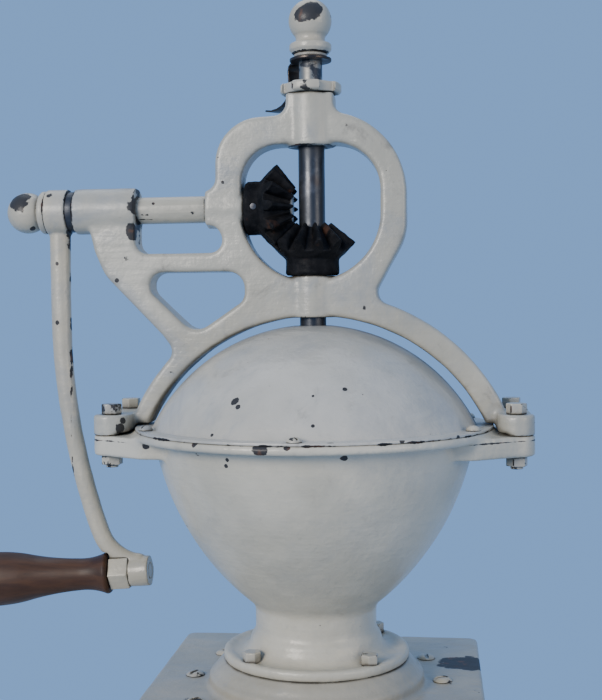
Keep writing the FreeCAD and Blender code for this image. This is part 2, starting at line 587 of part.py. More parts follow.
def yoke():
    arch = disc(*ARCH_OUTSIDE).cut(disc(*ARCH_INSIDE))
    arch = arch.common(flat_face([(-200, ARCH_END, 0), (200, ARCH_END, 0), (200, 300, 0),
                                  (-200, 300, 0)]))
    neck = flat_face([(-UPPER_BOSS_RADIUS, 355, 0), (UPPER_BOSS_RADIUS, 355, 0),
                      (UPPER_BOSS_RADIUS, UPPER_BOSS_TOP + 12, 0),
                      (-UPPER_BOSS_RADIUS, UPPER_BOSS_TOP + 12, 0)])
    inner_end = INNER_BEARING[0]
    reach = INNER_BEARING_RADIUS - 1.5
    bearing = flat_face([(inner_end, SHAFT_HEIGHT - reach, 0), (-50, SHAFT_HEIGHT - reach, 0),
                         (-50, SHAFT_HEIGHT + reach, 0), (inner_end, SHAFT_HEIGHT + reach, 0)])
    face = one_face([flat_face(RING_OUTSIDE), arch, neck, bearing, flat_face(BRACKET)])
    face = face.makeOffset2D(CAST_FILLET).makeOffset2D(-CAST_FILLET)
    face = face.cut([flat_face(RING_WINDOW), flat_face(SIDE_WINDOW)])
    frame = standing(face.Faces[0], YOKE_THICK)
    rims = []
    for edge in frame.Edges:
        if edge.BoundBox.YLength < 0.01:
            rims.append(edge)
    frame = frame.makeFillet(YOKE_EDGE, rims)
    above = block((-60, 60), (-40, 40), (TOP + UPPER_BOSS_TOP, TOP + UPPER_BOSS_TOP + 40))
    frame = frame.cut(above)
    foot = lying(lug_plan(), TOP + LUG_SEAM, TOP + FOOT_TOP)
    relief = block((LUG_X - 30, LUG_X - 5), (-60, 60), (TOP + LUG_SEAM - 1, TOP + LUG_SEAM + 1.6))
    feet = mirrored([foot.cut(relief)], X_AXIS)
    inboard = rod(INNER_BEARING_RADIUS, V(INNER_BEARING[0], 0, SHAFT_Z),
                  V(INNER_BEARING[1], 0, SHAFT_Z))
    outboard = rod(OUTER_BEARING_RADIUS, V(OUTER_BEARING[0], 0, SHAFT_Z),
                   V(OUTER_BEARING[1], 0, SHAFT_Z))
    upper = cylinder(UPPER_BOSS_RADIUS, TOP + UPPER_BOSS_BOTTOM, TOP + UPPER_BOSS_TOP)
    lower = cylinder(LOWER_BOSS_RADIUS, TOP + LOWER_BOSS_BOTTOM, TOP + LOWER_BOSS_TOP)
    frame = frame.fuse(feet + [inboard, outboard, upper, lower])
    shaft_bore = rod(SHAFT_RADIUS + RUNNING_GAP, V(OUTER_BEARING[0] - 1, 0, SHAFT_Z),
                     V(INNER_BEARING[1] + 1, 0, SHAFT_Z))
    facing = rod(GEAR_HUB_RADIUS + 1.0, V(INNER_BEARING[1], 0, SHAFT_Z), V(-30, 0, SHAFT_Z))
    spindle_bore = cylinder(SPINDLE_RADIUS + RUNNING_GAP, TOP + LOWER_BOSS_BOTTOM - 5,
                            TOP + UPPER_BOSS_TOP + 5)
    bolts = [cylinder(4.0, TOP + LUG_SEAM - 1, TOP + FOOT_TOP + 1, x, y)
             for x in (-LUG_X, LUG_X) for y in (-LUG_Y, LUG_Y)]
    frame = frame.cut([shaft_bore, spindle_bore, facing] + bolts)
    node("yoke_frame", frame.removeSplitter())

    heads = []
    nuts = []
    turn = 8
    for x in (-LUG_X, LUG_X):
        for y in (-LUG_Y, LUG_Y):
            head = hexagon(11.4, TOP + FOOT_TOP, TOP + FOOT_TOP + 6.8, x, y, turn)
            head = head.fuse(cylinder(4.0, TOP + LUG_BOTTOM - 8.0, TOP + FOOT_TOP, x, y))
            heads.append(head)
            nut = hexagon(12.0, TOP + LUG_BOTTOM - 6.2, TOP + LUG_BOTTOM, x, y, turn + 19)
            nuts.append(nut.cut(cylinder(4.0, TOP + 100, TOP + 170, x, y)))
            turn += 23
    node("lug_bolts", *heads)
    node("lug_nuts", *nuts)


# ---- mitre gears ------------------------------------------------------------------
PITCH_RADIUS = GEAR_TEETH * GEAR_MODULE / 2
ADDENDUM = GEAR_MODULE
DEDENDUM = 1.15 * GEAR_MODULE
BACK_RADIUS = PITCH_RADIUS * math.sqrt(2)       # developed back cone
FLANK_RELIEF = 0.008                            # backlash, in radians on each flank


def involute(angle):
    return math.tan(angle) - angle


def half_tooth(radius):
    """Half the tooth's angle on the developed back cone at a radius."""
    base = BACK_RADIUS * math.cos(GEAR_PRESSURE)
    virtual_teeth = 2 * BACK_RADIUS / GEAR_MODULE
    pressure = math.acos(min(1.0, base / max(radius, base)))
    at_pitch = math.pi / (2 * virtual_teeth) - FLANK_RELIEF
    return at_pitch + involute(GEAR_PRESSURE) - involute(pressure)


def tooth_section(scale):
    """Section of a tooth square to the pitch cone, shrunk towards the apex."""
    root = BACK_RADIUS - DEDENDUM
    tip = BACK_RADIUS + ADDENDUM
    radii = [root - 1.2] + [root + (tip - root) * k / 6 for k in range(7)]
    side = []
    for radius in radii:
        turn = half_tooth(radius)
        side.append((radius * math.sin(turn), radius * math.cos(turn) - BACK_RADIUS))
    outline = side + [(-u, w) for u, w in reversed(side)]
    points = []
    for u, w in outline:
        step = w / math.sqrt(2)
        points.append(V(PITCH_RADIUS + step, u, PITCH_RADIUS - step).multiply(scale))
    return Part.makePolygon(points + [points[0]])


def mitre_gear(phase, bore, hub_end):
    """A mitre gear with its cone's apex at the origin and its hub towards +Z."""
    drop = DEDENDUM / math.sqrt(2)
    root_out = (PITCH_RADIUS - drop, PITCH_RADIUS + drop)
    small = GEAR_SMALL_END
    root_in = (root_out[0] * small, root_out[1] * small)
    hub_start = root_out[1] + root_out[0] - GEAR_HUB_RADIUS
    blank = turned([(bore, root_in[1]), root_in, root_out, (GEAR_HUB_RADIUS, hub_start),
                    (GEAR_HUB_RADIUS, hub_end - 1.2), (GEAR_HUB_RADIUS - 1.2, hub_end),
                    (bore, hub_end)])
    tooth = Part.makeLoft([tooth_section(1.0), tooth_section(small)], True, True)
    teeth = around(tooth, [phase + 360 * k / GEAR_TEETH for k in range(GEAR_TEETH)])
    return blank.fuse(teeth).removeSplitter()


PIN_X = -36.0
KEY_WIDTH = 5.0


def gears():
    apex = V(0, 0, SHAFT_Z)
    drive = aim(mitre_gear(0, SHAFT_RADIUS, DRIVE_HUB_END), V(), V(-1, 0, 0))
    drive.translate(apex)
    pin = rod(2.0, V(PIN_X, -GEAR_HUB_RADIUS - 0.2, SHAFT_Z), V(PIN_X, GEAR_HUB_RADIUS + 0.2, SHAFT_Z))
    node("drive_gear", drive.cut(pin))
    node("drive_gear_pin", pin)
    driven = mitre_gear(180 / GEAR_TEETH, SPINDLE_RADIUS + RUNNING_GAP, DRIVEN_HUB_END)
    driven.rotate(V(), X_AXIS, 180)
    driven.translate(apex)
    low = SHAFT_Z - DRIVEN_HUB_END
    key = block((SPINDLE_RADIUS - 2.6, SPINDLE_RADIUS + 2.4), (-KEY_WIDTH / 2, KEY_WIDTH / 2),
                (low, low + 24))
    node("driven_gear", driven.cut(key))
    node("gear_key", key)


# ---- spindle and what is fixed to it ----------------------------------------------
SHOULDER = 402.6
NUT_LOW = UPPER_BOSS_TOP + 0.2
NUT_HIGH = NUT_LOW + 6.6
NUT_RADIUS = 19.8
BALL_CENTRE = 428.6
BALL_RADIUS = 13.9
STUD_RADIUS = 5.5
SPRING_THICK = 1.3
SPRING_WIDTH = 10.0
SPRING_PATH = [(9.0, 403.5), (16.6, 403.5), (18.6, 402.2), (19.3, 399.6), (19.0, 395.0),
               (18.5, 390.0), (18.7, 386.0), (20.4, 383.2), (23.6, 380.2), (28.0, 378.0),
               (34.0, 376.8), (41.0, 376.6), (48.0, 377.8)]


def ribbon(path, thickness):
    """A closed outline that follows a path at half the thickness on each side."""
    left = []
    right = []
    for i, (a, b) in enumerate(path):
        before = path[max(i - 1, 0)]
        after = path[min(i + 1, len(path) - 1)]
        run = math.hypot(after[0] - before[0], after[1] - before[1])
        across = (-(after[1] - before[1]) / run * thickness / 2,
                  (after[0] - before[0]) / run * thickness / 2)
        left.append((a + across[0], b + across[1], 0))
        right.append((a - across[0], b - across[1], 0))
    return flat_face(left + right[::-1])


def spindle():
    pilot_end = PLATE_UNDERSIDE - BAR_THICK
    body = cylinder(SPINDLE_RADIUS, TOP + INNER_BURR_TOP, TOP + UPPER_BOSS_TOP - 3)
    body = body.fuse([
        cylinder(SPINDLE_NECK_RADIUS, TOP + UPPER_BOSS_TOP - 4, TOP + SHOULDER),
        cylinder(STUD_RADIUS, TOP + SHOULDER - 1, TOP + BALL_CENTRE),
        cylinder(BURR_SEAT_RADIUS, TOP + 12, TOP + INNER_BURR_TOP + 1),
        cylinder(PILOT_RADIUS, pilot_end, TOP + 13)])
    hub_low = SHAFT_Z - DRIVEN_HUB_END
    slack = 0.06
    keyway = block((SPINDLE_RADIUS - 2.6 - slack, SPINDLE_RADIUS + 1),
                   (-KEY_WIDTH / 2 - slack, KEY_WIDTH / 2 + slack), (hub_low - 4, hub_low + 28))
    node("spindle", body.cut(keyway).removeSplitter())
    burr_nut = hexagon(21.0, TOP + 14.0, TOP + BURR_BOTTOM)
    node("burr_nut", burr_nut.cut(cylinder(BURR_SEAT_RADIUS, TOP, TOP + 60)))

    plate = cylinder(13.5, TOP + SHOULDER, TOP + SHOULDER + SPRING_THICK + 0.5)
    leaf = ribbon(SPRING_PATH, SPRING_THICK)
    leaf.rotate(V(), X_AXIS, 90)
    leaf.translate(V(0, SPRING_WIDTH / 2, TOP))
    leaf = leaf.extrude(V(0, -SPRING_WIDTH, 0))
    spring = plate.fuse(leaf)
    spring = spring.cut(cylinder(STUD_RADIUS, TOP + 380, TOP + 420))
    spring.rotate(V(), Z_AXIS, SPRING_ANGLE)
    node("locking_spring", spring.removeSplitter())

    washer_low = SHOULDER + SPRING_THICK + 0.5
    washer_high = 407.6
    washer = turned([(STUD_RADIUS, washer_low), (10.2, washer_low),
                     ("arc", (10.8, (washer_low + washer_high) / 2), (10.2, washer_high)),
                     (STUD_RADIUS, washer_high)], TOP)
    node("finial_washer", washer)
    top = BALL_CENTRE + BALL_RADIUS
    finial = turned([(0, BALL_CENTRE), (STUD_RADIUS, BALL_CENTRE), (STUD_RADIUS, washer_high),
                     (11.6, washer_high), (13.6, washer_high + 2.4), (13.6, washer_high + 5.6),
                     (12.8, washer_high + 6.4), (10.6, washer_high + 6.6),
                     ("arc", (9.5, washer_high + 8.6), (10.9, BALL_CENTRE - 8.7)),
                     ("arc", (BALL_RADIUS, BALL_CENTRE), (0, top))], TOP)
    node("finial_nut", finial)

    nut = turned([(SPINDLE_NECK_RADIUS + RUNNING_GAP, NUT_LOW), (NUT_RADIUS - 1.5, NUT_LOW),
                  (NUT_RADIUS, NUT_LOW + 1.2), (NUT_RADIUS, NUT_HIGH - 1.2),
                  (NUT_RADIUS - 1.2, NUT_HIGH), (SPINDLE_NECK_RADIUS + RUNNING_GAP, NUT_HIGH)],
                 TOP)
    notch = block((16.4, 30), (-5.8, 5.8), (TOP + NUT_LOW - 1, TOP + NUT_HIGH + 1))
    notches = around(notch, [SPRING_ANGLE + 360 * k / NOTCHES for k in range(NOTCHES)])
    node("adjusting_nut", nut.cut(notches))


# ---- crank --------------------------------------------------------------------------
HUB = (-175.6, -161.2)
HUB_RADIUS = 15.0
ARM_X = -168.3
ARM_BEND_TOP = 240.0
ARM_BEND_RADIUS = 434.0
ARM_HOOK_START = 96.0
ARM_HOOK_RADIUS = 30.0
ARM_HOOK_END = math.radians(80)
ARM_WIDE = 7.0              # half widths of the oval arm at the hub and at the hook
ARM_NARROW = 6.1
SQUARE = 12.5
CRANK_STUD_RADIUS = 5.0
BALL_NUT_CENTRE = -190.0
BALL_NUT_RADIUS = 13.5
PIN_TILT = math.radians(4.0)
PIN_ORIGIN = V(-117.3, 0, TOP + 70.3)
PIN_AXIS = V(-math.cos(PIN_TILT), 0, -math.sin(PIN_TILT))
END_BOSS_RADIUS = 9.9
END_BOSS = (-6.8, 6.6)      # along the pin from its origin
HEX_END = 19.6
HANDLE_START = 20.2
HANDLE_LENGTH = 114.0
PIN_RADIUS = 5.0


def arm_line():
    """Centre line of the arm: straight, then a long bend, then a hook to the pin."""
    points = [(V(ARM_X, 0, TOP + h), 0.0) for h in (SHAFT_HEIGHT - 4, 285.0, 262.0)]
    steps = 6
    sweep = math.asin((ARM_BEND_TOP - ARM_HOOK_START) / ARM_BEND_RADIUS)
    for k in range(steps):
        angle = sweep * k / steps
        point = V(ARM_X + ARM_BEND_RADIUS * (1 - math.cos(angle)), 0,
                  TOP + ARM_BEND_TOP - ARM_BEND_RADIUS * math.sin(angle))
        points.append((point, angle))
    start = V(ARM_X + ARM_BEND_RADIUS * (1 - math.cos(sweep)), 0, TOP + ARM_HOOK_START)
    for k in range(steps + 1):
        angle = sweep + (ARM_HOOK_END - sweep) * k / steps
        step = V(math.cos(sweep) - math.cos(angle), 0, math.sin(sweep) - math.sin(angle))
        points.append((start.add(step.multiply(ARM_HOOK_RADIUS)), angle))
    points.append((V(PIN_ORIGIN.x + 4.5, 0, PIN_ORIGIN.z + 1.6), ARM_HOOK_END))
    return points


def crank():
    sections = []
    stations = arm_line()
    for number, (point, angle) in enumerate(stations):
        share = min(1.0, number / 6)
        across = ARM_WIDE + (ARM_NARROW - ARM_WIDE) * share
        along = V(math.sin(angle), 0, -math.cos(angle))
        ring = Part.Ellipse(V(), across, across * 0.9).toShape()
        turn = FreeCAD.Rotation(V(along.cross(Y_AXIS)), Y_AXIS, along, "ZXY")
        ring.Placement = FreeCAD.Placement(point, turn)
        sections.append(Part.Wire(ring))
    limb = Part.makeLoft(sections, True, False)
    hub = rod(HUB_RADIUS, V(HUB[0], 0, SHAFT_Z), V(HUB[1], 0, SHAFT_Z))
    start = PIN_ORIGIN.add(V(PIN_AXIS).multiply(END_BOSS[0]))
    end = PIN_ORIGIN.add(V(PIN_AXIS).multiply(END_BOSS[1]))
    boss = rod(END_BOSS_RADIUS, start, end)
    square = block((HUB[0] - 1, HUB[1] + 1), (-SQUARE / 2, SQUARE / 2),
                   (SHAFT_Z - SQUARE / 2, SHAFT_Z + SQUARE / 2))
    hex_flats = 2 * END_BOSS_RADIUS + 0.6
    corner = hex_flats / math.sqrt(3)
    hex_points = [(corner * math.sin(math.radians(60 * k)), corner * math.cos(math.radians(60 * k)), 0)
                  for k in range(6)]
    hex_solid = lying(flat_face(hex_points), END_BOSS[1], HEX_END)
    relief = lying(flat_face(hex_points), END_BOSS[1], HEX_END + 40)
    hex_solid = aim(hex_solid, PIN_ORIGIN, PIN_AXIS)
    relief = aim(relief, PIN_ORIGIN, PIN_AXIS)
    below = block((-200, PIN_ORIGIN.x - 4), (-30, 30), (TOP, PIN_ORIGIN.z))
    bore = rod(PIN_RADIUS, start, PIN_ORIGIN.add(V(PIN_AXIS).multiply(60)))
    swing = rod(14.6, PIN_ORIGIN.add(V(PIN_AXIS).multiply(HEX_END - 0.2)),
                PIN_ORIGIN.add(V(PIN_AXIS).multiply(HEX_END + 30)))
    arm = hub.fuse([limb, boss]).cut([square, relief, below.cut(boss), bore, swing])
    arm = arm.removeSplitter()
    node("crank_arm", max(arm.Solids, key=lambda piece: piece.Volume))

    shaft_end = -12.6
    shaft = rod(SHAFT_RADIUS, V(HUB[1], 0, SHAFT_Z), V(shaft_end, 0, SHAFT_Z))
    key = block((HUB[0], HUB[1] + 1), (-SQUARE / 2, SQUARE / 2),
                (SHAFT_Z - SQUARE / 2, SHAFT_Z + SQUARE / 2))
    stud = rod(CRANK_STUD_RADIUS, V(BALL_NUT_CENTRE, 0, SHAFT_Z), V(HUB[0] + 1, 0, SHAFT_Z))
    pin = rod(2.0, V(PIN_X, -30, SHAFT_Z), V(PIN_X, 30, SHAFT_Z))
    node("crank_shaft", shaft.fuse([key, stud]).cut(pin).removeSplitter())

    washer_half = 13.4
    washer = rod(washer_half, V(OUTER_BEARING[0] - 0.3, 0, SHAFT_Z), V(HUB[1], 0, SHAFT_Z))
    washer = washer.cut(rod(SHAFT_RADIUS, V(-200, 0, SHAFT_Z), V(0, 0, SHAFT_Z)))
    node("crank_washer", washer)

    neck = 10.4
    flange = HUB[0] - BALL_NUT_CENTRE
    ball = turned([(0, 0), (CRANK_STUD_RADIUS, 0), (CRANK_STUD_RADIUS, flange), (14.0, flange),
                   (14.2, flange - 3.2), (13.0, flange - 4.6), (10.2, flange - 4.8),
                   (BALL_NUT_RADIUS * 0.64, neck),
                   ("arc", (BALL_NUT_RADIUS, 0), (0, -BALL_NUT_RADIUS))])
    node("crank_ball_nut", aim(ball, V(BALL_NUT_CENTRE, 0, SHAFT_Z), X_AXIS))

    pin_end = HANDLE_START + HANDLE_LENGTH
    spigot = rod(PIN_RADIUS, start, PIN_ORIGIN.add(V(PIN_AXIS).multiply(pin_end + 0.6)))
    node("handle_pin", hex_solid.fuse(spigot).removeSplitter())
    rounded = turned([(0, 0), (8.4, 0), (8.4, 1.6), ("arc", (6.2, 3.6), (0, 4.6))], pin_end + 0.6)
    slot = block((-9, 9), (-0.8, 0.8), (pin_end + 3.4, pin_end + 9))
    node("handle_end_cap", aim(rounded.cut(slot), PIN_ORIGIN, PIN_AXIS))

    bore = PIN_RADIUS + 0.08
    length = HANDLE_LENGTH
    grip = turned([(bore, 0), (11.6, 0), ("arc", (13.2, 0.8), (13.6, 2.6)),
                   ("arc", (11.0, 11.5), (10.6, 22.0)), ("arc", (12.4, 41.0), (15.7, 58.0)),
                   ("arc", (17.9, 80.0), (15.6, 102.0)),
                   ("arc", (13.6, 110.0), (9.0, length)), (bore, length)], HANDLE_START)
    node("wood_handle", aim(grip, PIN_ORIGIN, PIN_AXIS))


def build():
    box()
    drawer()
    top_plate()
    hopper_bowl()
    burrs()
    dome()
    yoke()
    gears()
    spindle()
    crank()


build()
os.makedirs("parts", exist_ok=True)
for name, shape in NODES.items():
    shape.exportStep(os.path.join("parts", name + ".step"))
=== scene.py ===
import json
import math

import bmesh
import bpy
from mathutils import Matrix, Vector, noise


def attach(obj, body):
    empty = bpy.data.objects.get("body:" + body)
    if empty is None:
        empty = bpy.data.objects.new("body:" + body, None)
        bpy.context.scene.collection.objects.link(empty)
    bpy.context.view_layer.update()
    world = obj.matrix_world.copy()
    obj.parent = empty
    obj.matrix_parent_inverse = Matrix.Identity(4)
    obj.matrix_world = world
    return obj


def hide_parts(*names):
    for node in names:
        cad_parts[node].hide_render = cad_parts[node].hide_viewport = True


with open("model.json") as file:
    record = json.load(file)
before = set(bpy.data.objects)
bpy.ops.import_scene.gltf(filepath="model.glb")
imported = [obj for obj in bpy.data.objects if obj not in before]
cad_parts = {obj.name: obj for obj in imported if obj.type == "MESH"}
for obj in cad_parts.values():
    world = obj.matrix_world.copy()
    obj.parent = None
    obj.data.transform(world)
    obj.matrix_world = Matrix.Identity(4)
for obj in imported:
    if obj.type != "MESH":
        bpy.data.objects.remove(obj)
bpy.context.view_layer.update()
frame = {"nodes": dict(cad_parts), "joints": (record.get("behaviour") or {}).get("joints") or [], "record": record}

MM = 0.001

# ---- where things are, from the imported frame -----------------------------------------
JOINTS = {joint["name"]: joint for joint in frame["joints"]}
SHAFT_Z = JOINTS["crank_turn"]["pos_m"][2]
SHAFT_ABOVE_PLATE = 0.309
TOP = SHAFT_Z - SHAFT_ABOVE_PLATE   # top of the iron plate, without the raised seat
BODY_OF = {}
for body, members in frame["record"]["behaviour"]["bodies"].items():
    for member in members:
        BODY_OF[member] = body


# ---- node helpers ---------------------------------------------------------------------
class Nodes:
    """Short calls for building one material's node tree."""

    def __init__(self, name):
        self.material = bpy.data.materials.new(name)
        self.material.use_nodes = True
        self.tree = self.material.node_tree
        self.tree.nodes.clear()
        self.coords = self.tree.nodes.new("ShaderNodeTexCoord").outputs["Object"]

    def link(self, source, socket):
        """Join a socket to a socket, or set a plain value on it."""
        if isinstance(source, bpy.types.NodeSocket):
            self.tree.links.new(source, socket)
        else:
            socket.default_value = source

    def mapped(self, scale, turn=(0, 0, 0)):
        """Object coordinates stretched along each axis, for grain and brush marks."""
        node = self.tree.nodes.new("ShaderNodeMapping")
        self.link(self.coords, node.inputs["Vector"])
        node.inputs["Scale"].default_value = scale
        node.inputs["Rotation"].default_value = turn
        return node.outputs["Vector"]

    def noise(self, scale, detail=3.0, rough=0.5, vector=None, distortion=0.0):
        node = self.tree.nodes.new("ShaderNodeTexNoise")
        self.link(vector or self.coords, node.inputs["Vector"])
        node.inputs["Scale"].default_value = scale
        node.inputs["Detail"].default_value = detail
        node.inputs["Roughness"].default_value = rough
        node.inputs["Distortion"].default_value = distortion
        return node.outputs["Fac"]

    def ramp(self, value, low, high, start=0.0, end=1.0):
        """A smooth step from start at low to end at high."""
        node = self.tree.nodes.new("ShaderNodeMapRange")
        node.interpolation_type = "SMOOTHSTEP"
        self.link(value, node.inputs["Value"])
        node.inputs["From Min"].default_value = low
        node.inputs["From Max"].default_value = high
        node.inputs["To Min"].default_value = start
        node.inputs["To Max"].default_value = end
        return node.outputs["Result"]

    def math(self, operation, a, b=0.0, clamp=False):
        node = self.tree.nodes.new("ShaderNodeMath")
        node.operation = operation
        node.use_clamp = clamp
        self.link(a, node.inputs[0])
        self.link(b, node.inputs[1])
        return node.outputs[0]

    def mix(self, factor, a, b):
        node = self.tree.nodes.new("ShaderNodeMix")
        node.data_type = "RGBA"
        self.link(factor, node.inputs["Factor"])
        sockets = [s for s in node.inputs if s.type == "RGBA"]
        for source, socket in zip((a, b), sockets):
            if isinstance(source, bpy.types.NodeSocket):
                self.link(source, socket)
            else:
                socket.default_value = (*source, 1.0)
        return [s for s in node.outputs if s.type == "RGBA"][0]

    def crevice(self, distance):
        """Ambient occlusion as a painted-shade mask: 1 in corners and seams, 0 in the open."""
        node = self.tree.nodes.new("ShaderNodeAmbientOcclusion")
        node.samples = 8
        node.inputs["Distance"].default_value = distance
        return self.math("SUBTRACT", 1.0, node.outputs["AO"])

    def edge(self):
        """Above 0.5 on convex edges."""
        return self.tree.nodes.new("ShaderNodeNewGeometry").outputs["Pointiness"]

    def coordinate(self, axis):
        """One coordinate of the row frame, by its letter."""
        split = self.tree.nodes.new("ShaderNodeSeparateXYZ")
        self.link(self.coords, split.inputs[0])
        return split.outputs[axis]

    def distance_to(self, centre):
        shift = self.tree.nodes.new("ShaderNodeVectorMath")
        shift.operation = "DISTANCE"
        self.link(self.coords, shift.inputs[0])
        shift.inputs[1].default_value = centre
        return shift.outputs["Value"]

    def spot(self, centre, radius, ragged=0.35, grain=180.0):
        """1 inside a ragged blot around a point of the row frame."""
        share = self.math("DIVIDE", self.distance_to(centre), radius)
        wobble = self.math("MULTIPLY", self.math("SUBTRACT", self.noise(grain, 4), 0.5), 2 * ragged)
        total = self.math("ADD", share, self.math("MULTIPLY", wobble, 2.0))
        return self.ramp(total, 1.05, 0.95)

    def seam_line(self, axis, position, width, cover=0.5, grain=90.0, centre=None, reach=0.02):
        """1 along a broken line at one coordinate, within reach of a centre if one is given."""
        off = self.math("ABSOLUTE", self.math("SUBTRACT", self.coordinate(axis), position))
        share = self.math("DIVIDE", off, width)
        ragged = self.math("MULTIPLY", self.math("SUBTRACT", self.noise(grain, 5, 0.65), cover), 6.0)
        line = self.ramp(self.math("SUBTRACT", share, ragged), 1.15, 0.85)
        if centre is None:
            return line
        near = self.math("LESS_THAN", self.distance_to(centre), reach)
        return self.math("MULTIPLY", line, near)

    def any_of(self, masks):
        """The largest of several masks."""
        total = masks[0]
        for mask in masks[1:]:
            total = self.math("MAXIMUM", total, mask)
        return total

    def bump(self, height, strength, distance, below=None):
        node = self.tree.nodes.new("ShaderNodeBump")
        node.inputs["Strength"].default_value = strength
        node.inputs["Distance"].default_value = distance
        self.link(height, node.inputs["Height"])
        if below is not None:
            self.link(below, node.inputs["Normal"])
        return node.outputs["Normal"]

    def surface(self, color, roughness, normal=None, metallic=0.0, coat=0.0, coat_rough=0.2,
                gloss=0.5):
        shader = self.tree.nodes.new("ShaderNodeBsdfPrincipled")
        shader.inputs["Specular IOR Level"].default_value = gloss
        if isinstance(color, bpy.types.NodeSocket):
            self.link(color, shader.inputs["Base Color"])
        else:
            shader.inputs["Base Color"].default_value = (*color, 1.0)
        self.link(roughness, shader.inputs["Roughness"])
        self.link(metallic, shader.inputs["Metallic"])
        shader.inputs["Coat Weight"].default_value = coat
        shader.inputs["Coat Roughness"].default_value = coat_rough
        if normal is not None:
            self.link(normal, shader.inputs["Normal"])
        output = self.tree.nodes.new("ShaderNodeOutputMaterial")
        self.link(shader.outputs[0], output.inputs["Surface"])
        return self.material


# ---- materials -------------------------------------------------------------------------
CREAM_LIGHT = (0.530, 0.498, 0.425)
CREAM_DARK = (0.415, 0.390, 0.325)
IRON_DARK = (0.018, 0.016, 0.015)
RUST = (0.085, 0.036, 0.018)
# dark colour for grime, and for painted shade in corners and seams
GRIME_AND_SHADE = (0.085, 0.075, 0.058)
OLD_PAINT = (0.36, 0.34, 0.28)      # specks of an older coat
COLD_GREY = (0.26, 0.27, 0.27)      # long smears
BROWN_STAIN = (0.22, 0.20, 0.16)
PAINT_EDGE = 0.0002                 # half the width of a paint edge on steel


def tinted(color, tint_and_shade):
    """A colour with each channel multiplied by its share."""
    return tuple(part * share for part, share in zip(color, tint_and_shade))


def cream_paint(name, wear=0.5, spots=(), seams=(), dirt_and_shade=1.0, strokes=(18, 18, 260),
                tint_and_shade=(1.0, 1.0, 1.0)):
    """Brushed gloss paint over iron, chipped on edges, with grime and painted shade in corners and seams.

    spots are (centre, radius, grain) and seams are the arguments of seam_line.
    """
    n = Nodes(name)
    tone = n.ramp(n.noise(11.0, 4, 0.6), 0.34, 0.68)
    # the tint gives each part its own warmth, and its brightness is painted light and shade for how light falls on
    # that part
    color = n.mix(tone, tinted(CREAM_DARK, tint_and_shade), tinted(CREAM_LIGHT, tint_and_shade))
    speck = n.ramp(n.noise(150.0, 3, 0.6), 0.60, 0.76, 0.0, 0.28)
    color = n.mix(speck, color, OLD_PAINT)
    smear = n.ramp(n.noise(9.5, 6, 0.7, distortion=0.9), 0.48, 0.72, 0.0, 0.55 * dirt_and_shade)
    color = n.mix(smear, color, COLD_GREY)
    stain = n.ramp(n.noise(38.0, 6, 0.72, distortion=0.5), 0.56, 0.74, 0.0, 0.45 * dirt_and_shade)
    color = n.mix(stain, color, BROWN_STAIN)
    # painted shade: ambient occlusion darkens corners and seams towards the grime colour, broken up like grime,
    # and the dirt setting scales it together with the smears and stains
    corner = n.ramp(n.crevice(0.009), 0.12, 0.52)
    seam = n.ramp(n.crevice(0.0030), 0.15, 0.50)
    patchy = n.ramp(n.noise(60.0, 4, 0.6), 0.30, 0.62, 0.35, 1.0)
    grime_and_shade = n.math("MULTIPLY", n.any_of([n.math("MULTIPLY", corner, 0.55), seam]), patchy)
    grime_and_shade = n.math("MULTIPLY", grime_and_shade, 0.85 * dirt_and_shade, clamp=True)
    color = n.mix(grime_and_shade, color, GRIME_AND_SHADE)
    edge = n.ramp(n.edge(), 0.52, 0.60)
    flake = n.noise(95.0, 6, 0.62)
    patch = n.noise(16.0, 3, 0.5)
    worn_edge = n.math("MULTIPLY", edge, n.ramp(patch, 0.50 - 0.16 * wear, 0.68 - 0.16 * wear))
    level = n.math("ADD", flake, n.math("MULTIPLY", worn_edge, 0.22))
    chip = n.ramp(level, 0.725 - 0.06 * wear, 0.738 - 0.06 * wear)
    masks = [chip] + [n.spot(Vector(place), size, grain=grain) for place, size, grain in spots]
    masks += [n.seam_line(*line) for line in seams]
    chip = n.any_of(masks)
    rusty = n.mix(n.ramp(n.noise(130.0, 4), 0.56, 0.70), IRON_DARK, RUST)
    color = n.mix(chip, color, rusty)
    rough = n.math("ADD", n.ramp(n.noise(24.0, 3), 0.3, 0.7, 0.28, 0.44),
                   n.math("MULTIPLY", n.math("MAXIMUM", chip, grime_and_shade), 0.30), clamp=True)
    brush = n.noise(1.0, 3, 0.55, n.mapped(strokes))
    lumps = n.noise(55.0, 3, 0.5)
    pitting = n.noise(420.0, 2, 0.5)
    normal = n.bump(lumps, 0.55, 0.0018)
    normal = n.bump(n.noise(150.0, 3, 0.6), 0.45, 0.0009, normal)
    normal = n.bump(brush, 0.45, 0.0006, normal)
    normal = n.bump(pitting, 0.28, 0.0004, normal)
    normal = n.bump(n.math("SUBTRACT", 1.0, chip), 0.8, 0.0003, normal)
    return n.surface(color, rough, normal, coat=0.20, coat_rough=0.22)


def black_iron(name, rust=0.3):
    """Old grease on black iron, with rust showing in places."""
    n = Nodes(name)
    tone = n.ramp(n.noise(140.0, 5, 0.6), 0.35, 0.70)
    color = n.mix(tone, (0.0025, 0.0025, 0.003), (0.012, 0.011, 0.011))
    red = n.ramp(n.noise(60.0, 4, 0.6), 0.66 - 0.2 * rust, 0.78 - 0.1 * rust, 0.0, 0.9)
    color = n.mix(red, color, (0.060, 0.026, 0.014))
    worn = n.math("MULTIPLY", n.ramp(n.edge(), 0.54, 0.66), n.ramp(n.noise(90.0, 3), 0.45, 0.65))
    color = n.mix(n.math("MULTIPLY", worn, 0.35), color, (0.10, 0.09, 0.085))
    rough = n.ramp(n.noise(80.0, 4), 0.3, 0.7, 0.48, 0.80)
    normal = n.bump(n.noise(170.0, 5, 0.65), 0.7, 0.0010)
    normal = n.bump(n.noise(700.0, 3), 0.3, 0.0003, normal)
    return n.surface(color, rough, normal, gloss=0.15)


